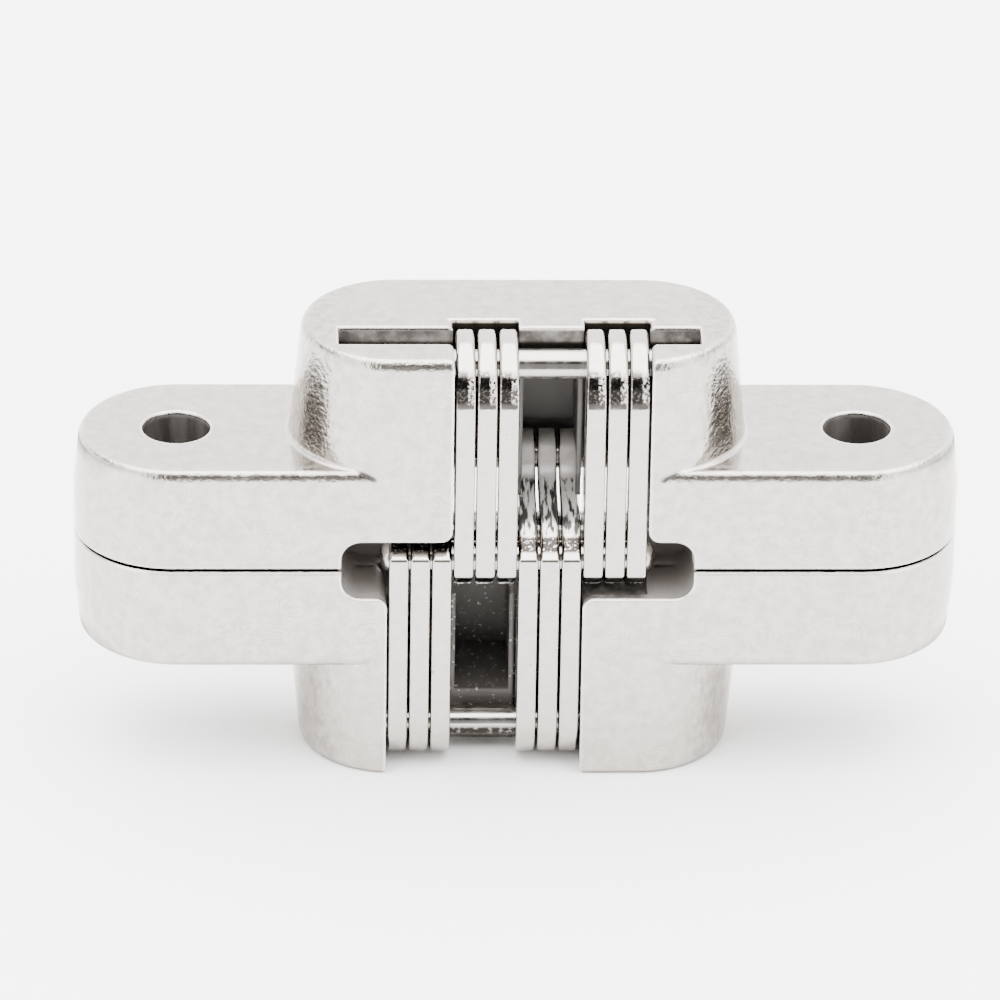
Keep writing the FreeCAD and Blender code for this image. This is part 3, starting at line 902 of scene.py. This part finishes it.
def add_floor():
    """Plain pale floor: a table under the hinge and the same paper carried on round it.

    The paper beyond the table shows no reflection in the metal, like the dim end of a studio.
    """
    shading = Shading("floor_paper")
    grain = shading.noise(900.0, detail=2.0)
    colour = shading.colour_mix(grain, (0.90, 0.90, 0.90, 1), (0.92, 0.92, 0.92, 1))
    normal = shading.bump(grain, 0.00001, 0.1)
    material = shading.finish(colour, 0.0, 0.9, normal)
    level = -leaf_top * MM
    table = (-0.25, 0.25, -half_width * MM - 0.096, 0.30)
    far = (-4.0, 4.0, -4.0, 4.0)

    def sheet(name, columns, rows, faces):
        """Flat sheet at floor level from a grid of corners."""
        mesh = bpy.data.meshes.new(name)
        mesh.from_pydata([(x, y, level) for y in rows for x in columns], [], faces)
        mesh.materials.append(material)
        floor = bpy.data.objects.new(name, mesh)
        bpy.context.scene.collection.objects.link(floor)
        return floor

    sheet("floor_table", table[:2], table[2:], [(0, 1, 3, 2)])
    columns = (far[0], table[0], table[1], far[1])
    rows = (far[2], table[2], table[3], far[3])
    faces = [(4 * row + column, 4 * row + column + 1, 4 * row + column + 5, 4 * row + column + 4)
             for row in range(3) for column in range(3) if (row, column) != (1, 1)]
    around = sheet("floor_around", columns, rows, faces)
    around.visible_glossy = False


def add_light():
    """Soft white tent of light with a bright panel overhead.

    The tent is open and dark in front, less so near the floor, and again beside the hinge in a
    band at half height. Both openings go by the turn of a direction from straight ahead.
    """
    world = bpy.data.worlds.new("studio")
    bpy.context.scene.world = world
    world.use_nodes = True
    tree = world.node_tree
    background = tree.nodes["Background"]
    direction = tree.nodes.new("ShaderNodeTexCoord")
    split = tree.nodes.new("ShaderNodeSeparateXYZ")
    tree.links.new(direction.outputs["Generated"], split.inputs[0])

    def step(value, low, high):
        """Smooth step between two limits, falling if the first is higher."""
        node = tree.nodes.new("ShaderNodeMapRange")
        node.interpolation_type = "SMOOTHSTEP"
        tree.links.new(value, node.inputs[0])
        node.inputs[1].default_value = low
        node.inputs[2].default_value = high
        return node.outputs[0]

    def calculate(operation, *values):
        """One sum on one or two values."""
        node = tree.nodes.new("ShaderNodeMath")
        node.operation = operation
        for socket, value in zip(node.inputs, values):
            if isinstance(value, bpy.types.NodeSocket):
                tree.links.new(value, socket)
            else:
                socket.default_value = value
        return node.outputs[0]

    def blend(factor, first, second):
        """First colour at 0, second at 1."""
        node = tree.nodes.new("ShaderNodeMix")
        node.data_type = "RGBA"
        tree.links.new(factor, node.inputs["Factor"])
        for socket, value in ((node.inputs[6], first), (node.inputs[7], second)):
            if isinstance(value, bpy.types.NodeSocket):
                tree.links.new(value, socket)
            else:
                socket.default_value = value
        return node.outputs[2]

    overhead = step(split.outputs[2], 0.72, 0.86)
    tent = blend(overhead, (1.0, 1.0, 1.0, 1), (2.4, 2.4, 2.4, 1))
    below_box = step(split.outputs[2], 0.78, 0.70)
    side_band = calculate("MULTIPLY", step(split.outputs[2], 0.27, 0.36), step(split.outputs[2], 0.62, 0.54))
    sideways = calculate("ABSOLUTE", split.outputs[0])
    forwards = calculate("MULTIPLY", split.outputs[1], -1.0)
    turn = calculate("ARCTAN2", sideways, forwards)
    in_front = calculate("MULTIPLY", below_box, step(turn, math.radians(31), math.radians(25)))
    beside = calculate("MULTIPLY", step(turn, math.radians(72), math.radians(84)),
                       step(turn, math.radians(128), math.radians(118)))
    beside = calculate("MULTIPLY", side_band, beside)
    tent = blend(beside, tent, (0.034, 0.033, 0.032, 1))
    dim = blend(step(split.outputs[2], 0.34, 0.44), (0.12, 0.118, 0.116, 1), (0.018, 0.0175, 0.017, 1))
    tree.links.new(blend(in_front, tent, dim), background.inputs["Color"])
    background.inputs["Strength"].default_value = 5.4


casting = plated_casting()
link_steel = plated_link()
pin_steel = steel_pin()

leaf_mesh = cast_leaf_mesh()
cast_leaf("upper_leaf_casting", "upper_leaf", leaf_mesh, False, casting, "upper_leaf_body")
cast_leaf("lower_leaf_casting", "lower_leaf", leaf_mesh, True, casting, "lower_leaf_body")
bpy.data.meshes.remove(leaf_mesh)

for number, x in enumerate(lamination_stations, start=1):
    lamination("upper_lamination_%d" % number, x, True, number, link_steel,
               "upper_links_body", "upper_link_%d" % number)
    lamination("lower_lamination_%d" % number, x, False, 20 + number, link_steel,
               "lower_links_body", "lower_link_%d" % number)

straight = ((0.0, 1.2), (13.0, 1.2), (13.25, 1.2), (13.42, 1.13), (13.5, 0.95))
short = ((0.0, 1.2), (12.8, 1.2), (12.95, 1.2), (13.12, 1.13), (13.2, 0.95))
peened = ((0.0, 1.2), (9.9, 1.2), (10.2, 1.2), (10.38, 1.12), (10.56, 0.97), (10.7, 0.78), (10.8, 0.5))
pin("upper_slider", straight, slider_pin_place, 1, pin_steel, "upper_links_body", "upper_slider_pin")
pin("lower_slider", straight, slider_pin_place, -1, pin_steel, "lower_links_body", "lower_slider_pin")
pin("upper_fixed", short, fixed_pin_place, 1, pin_steel, "upper_leaf_body", "upper_fixed_pin")
pin("lower_fixed", short, fixed_pin_place, -1, pin_steel, "lower_leaf_body", "lower_fixed_pin")
pin("centre_rivet", peened, centre_pin_place, 1, pin_steel, "upper_links_body", "centre_pin")

add_camera()
add_floor()
add_light()
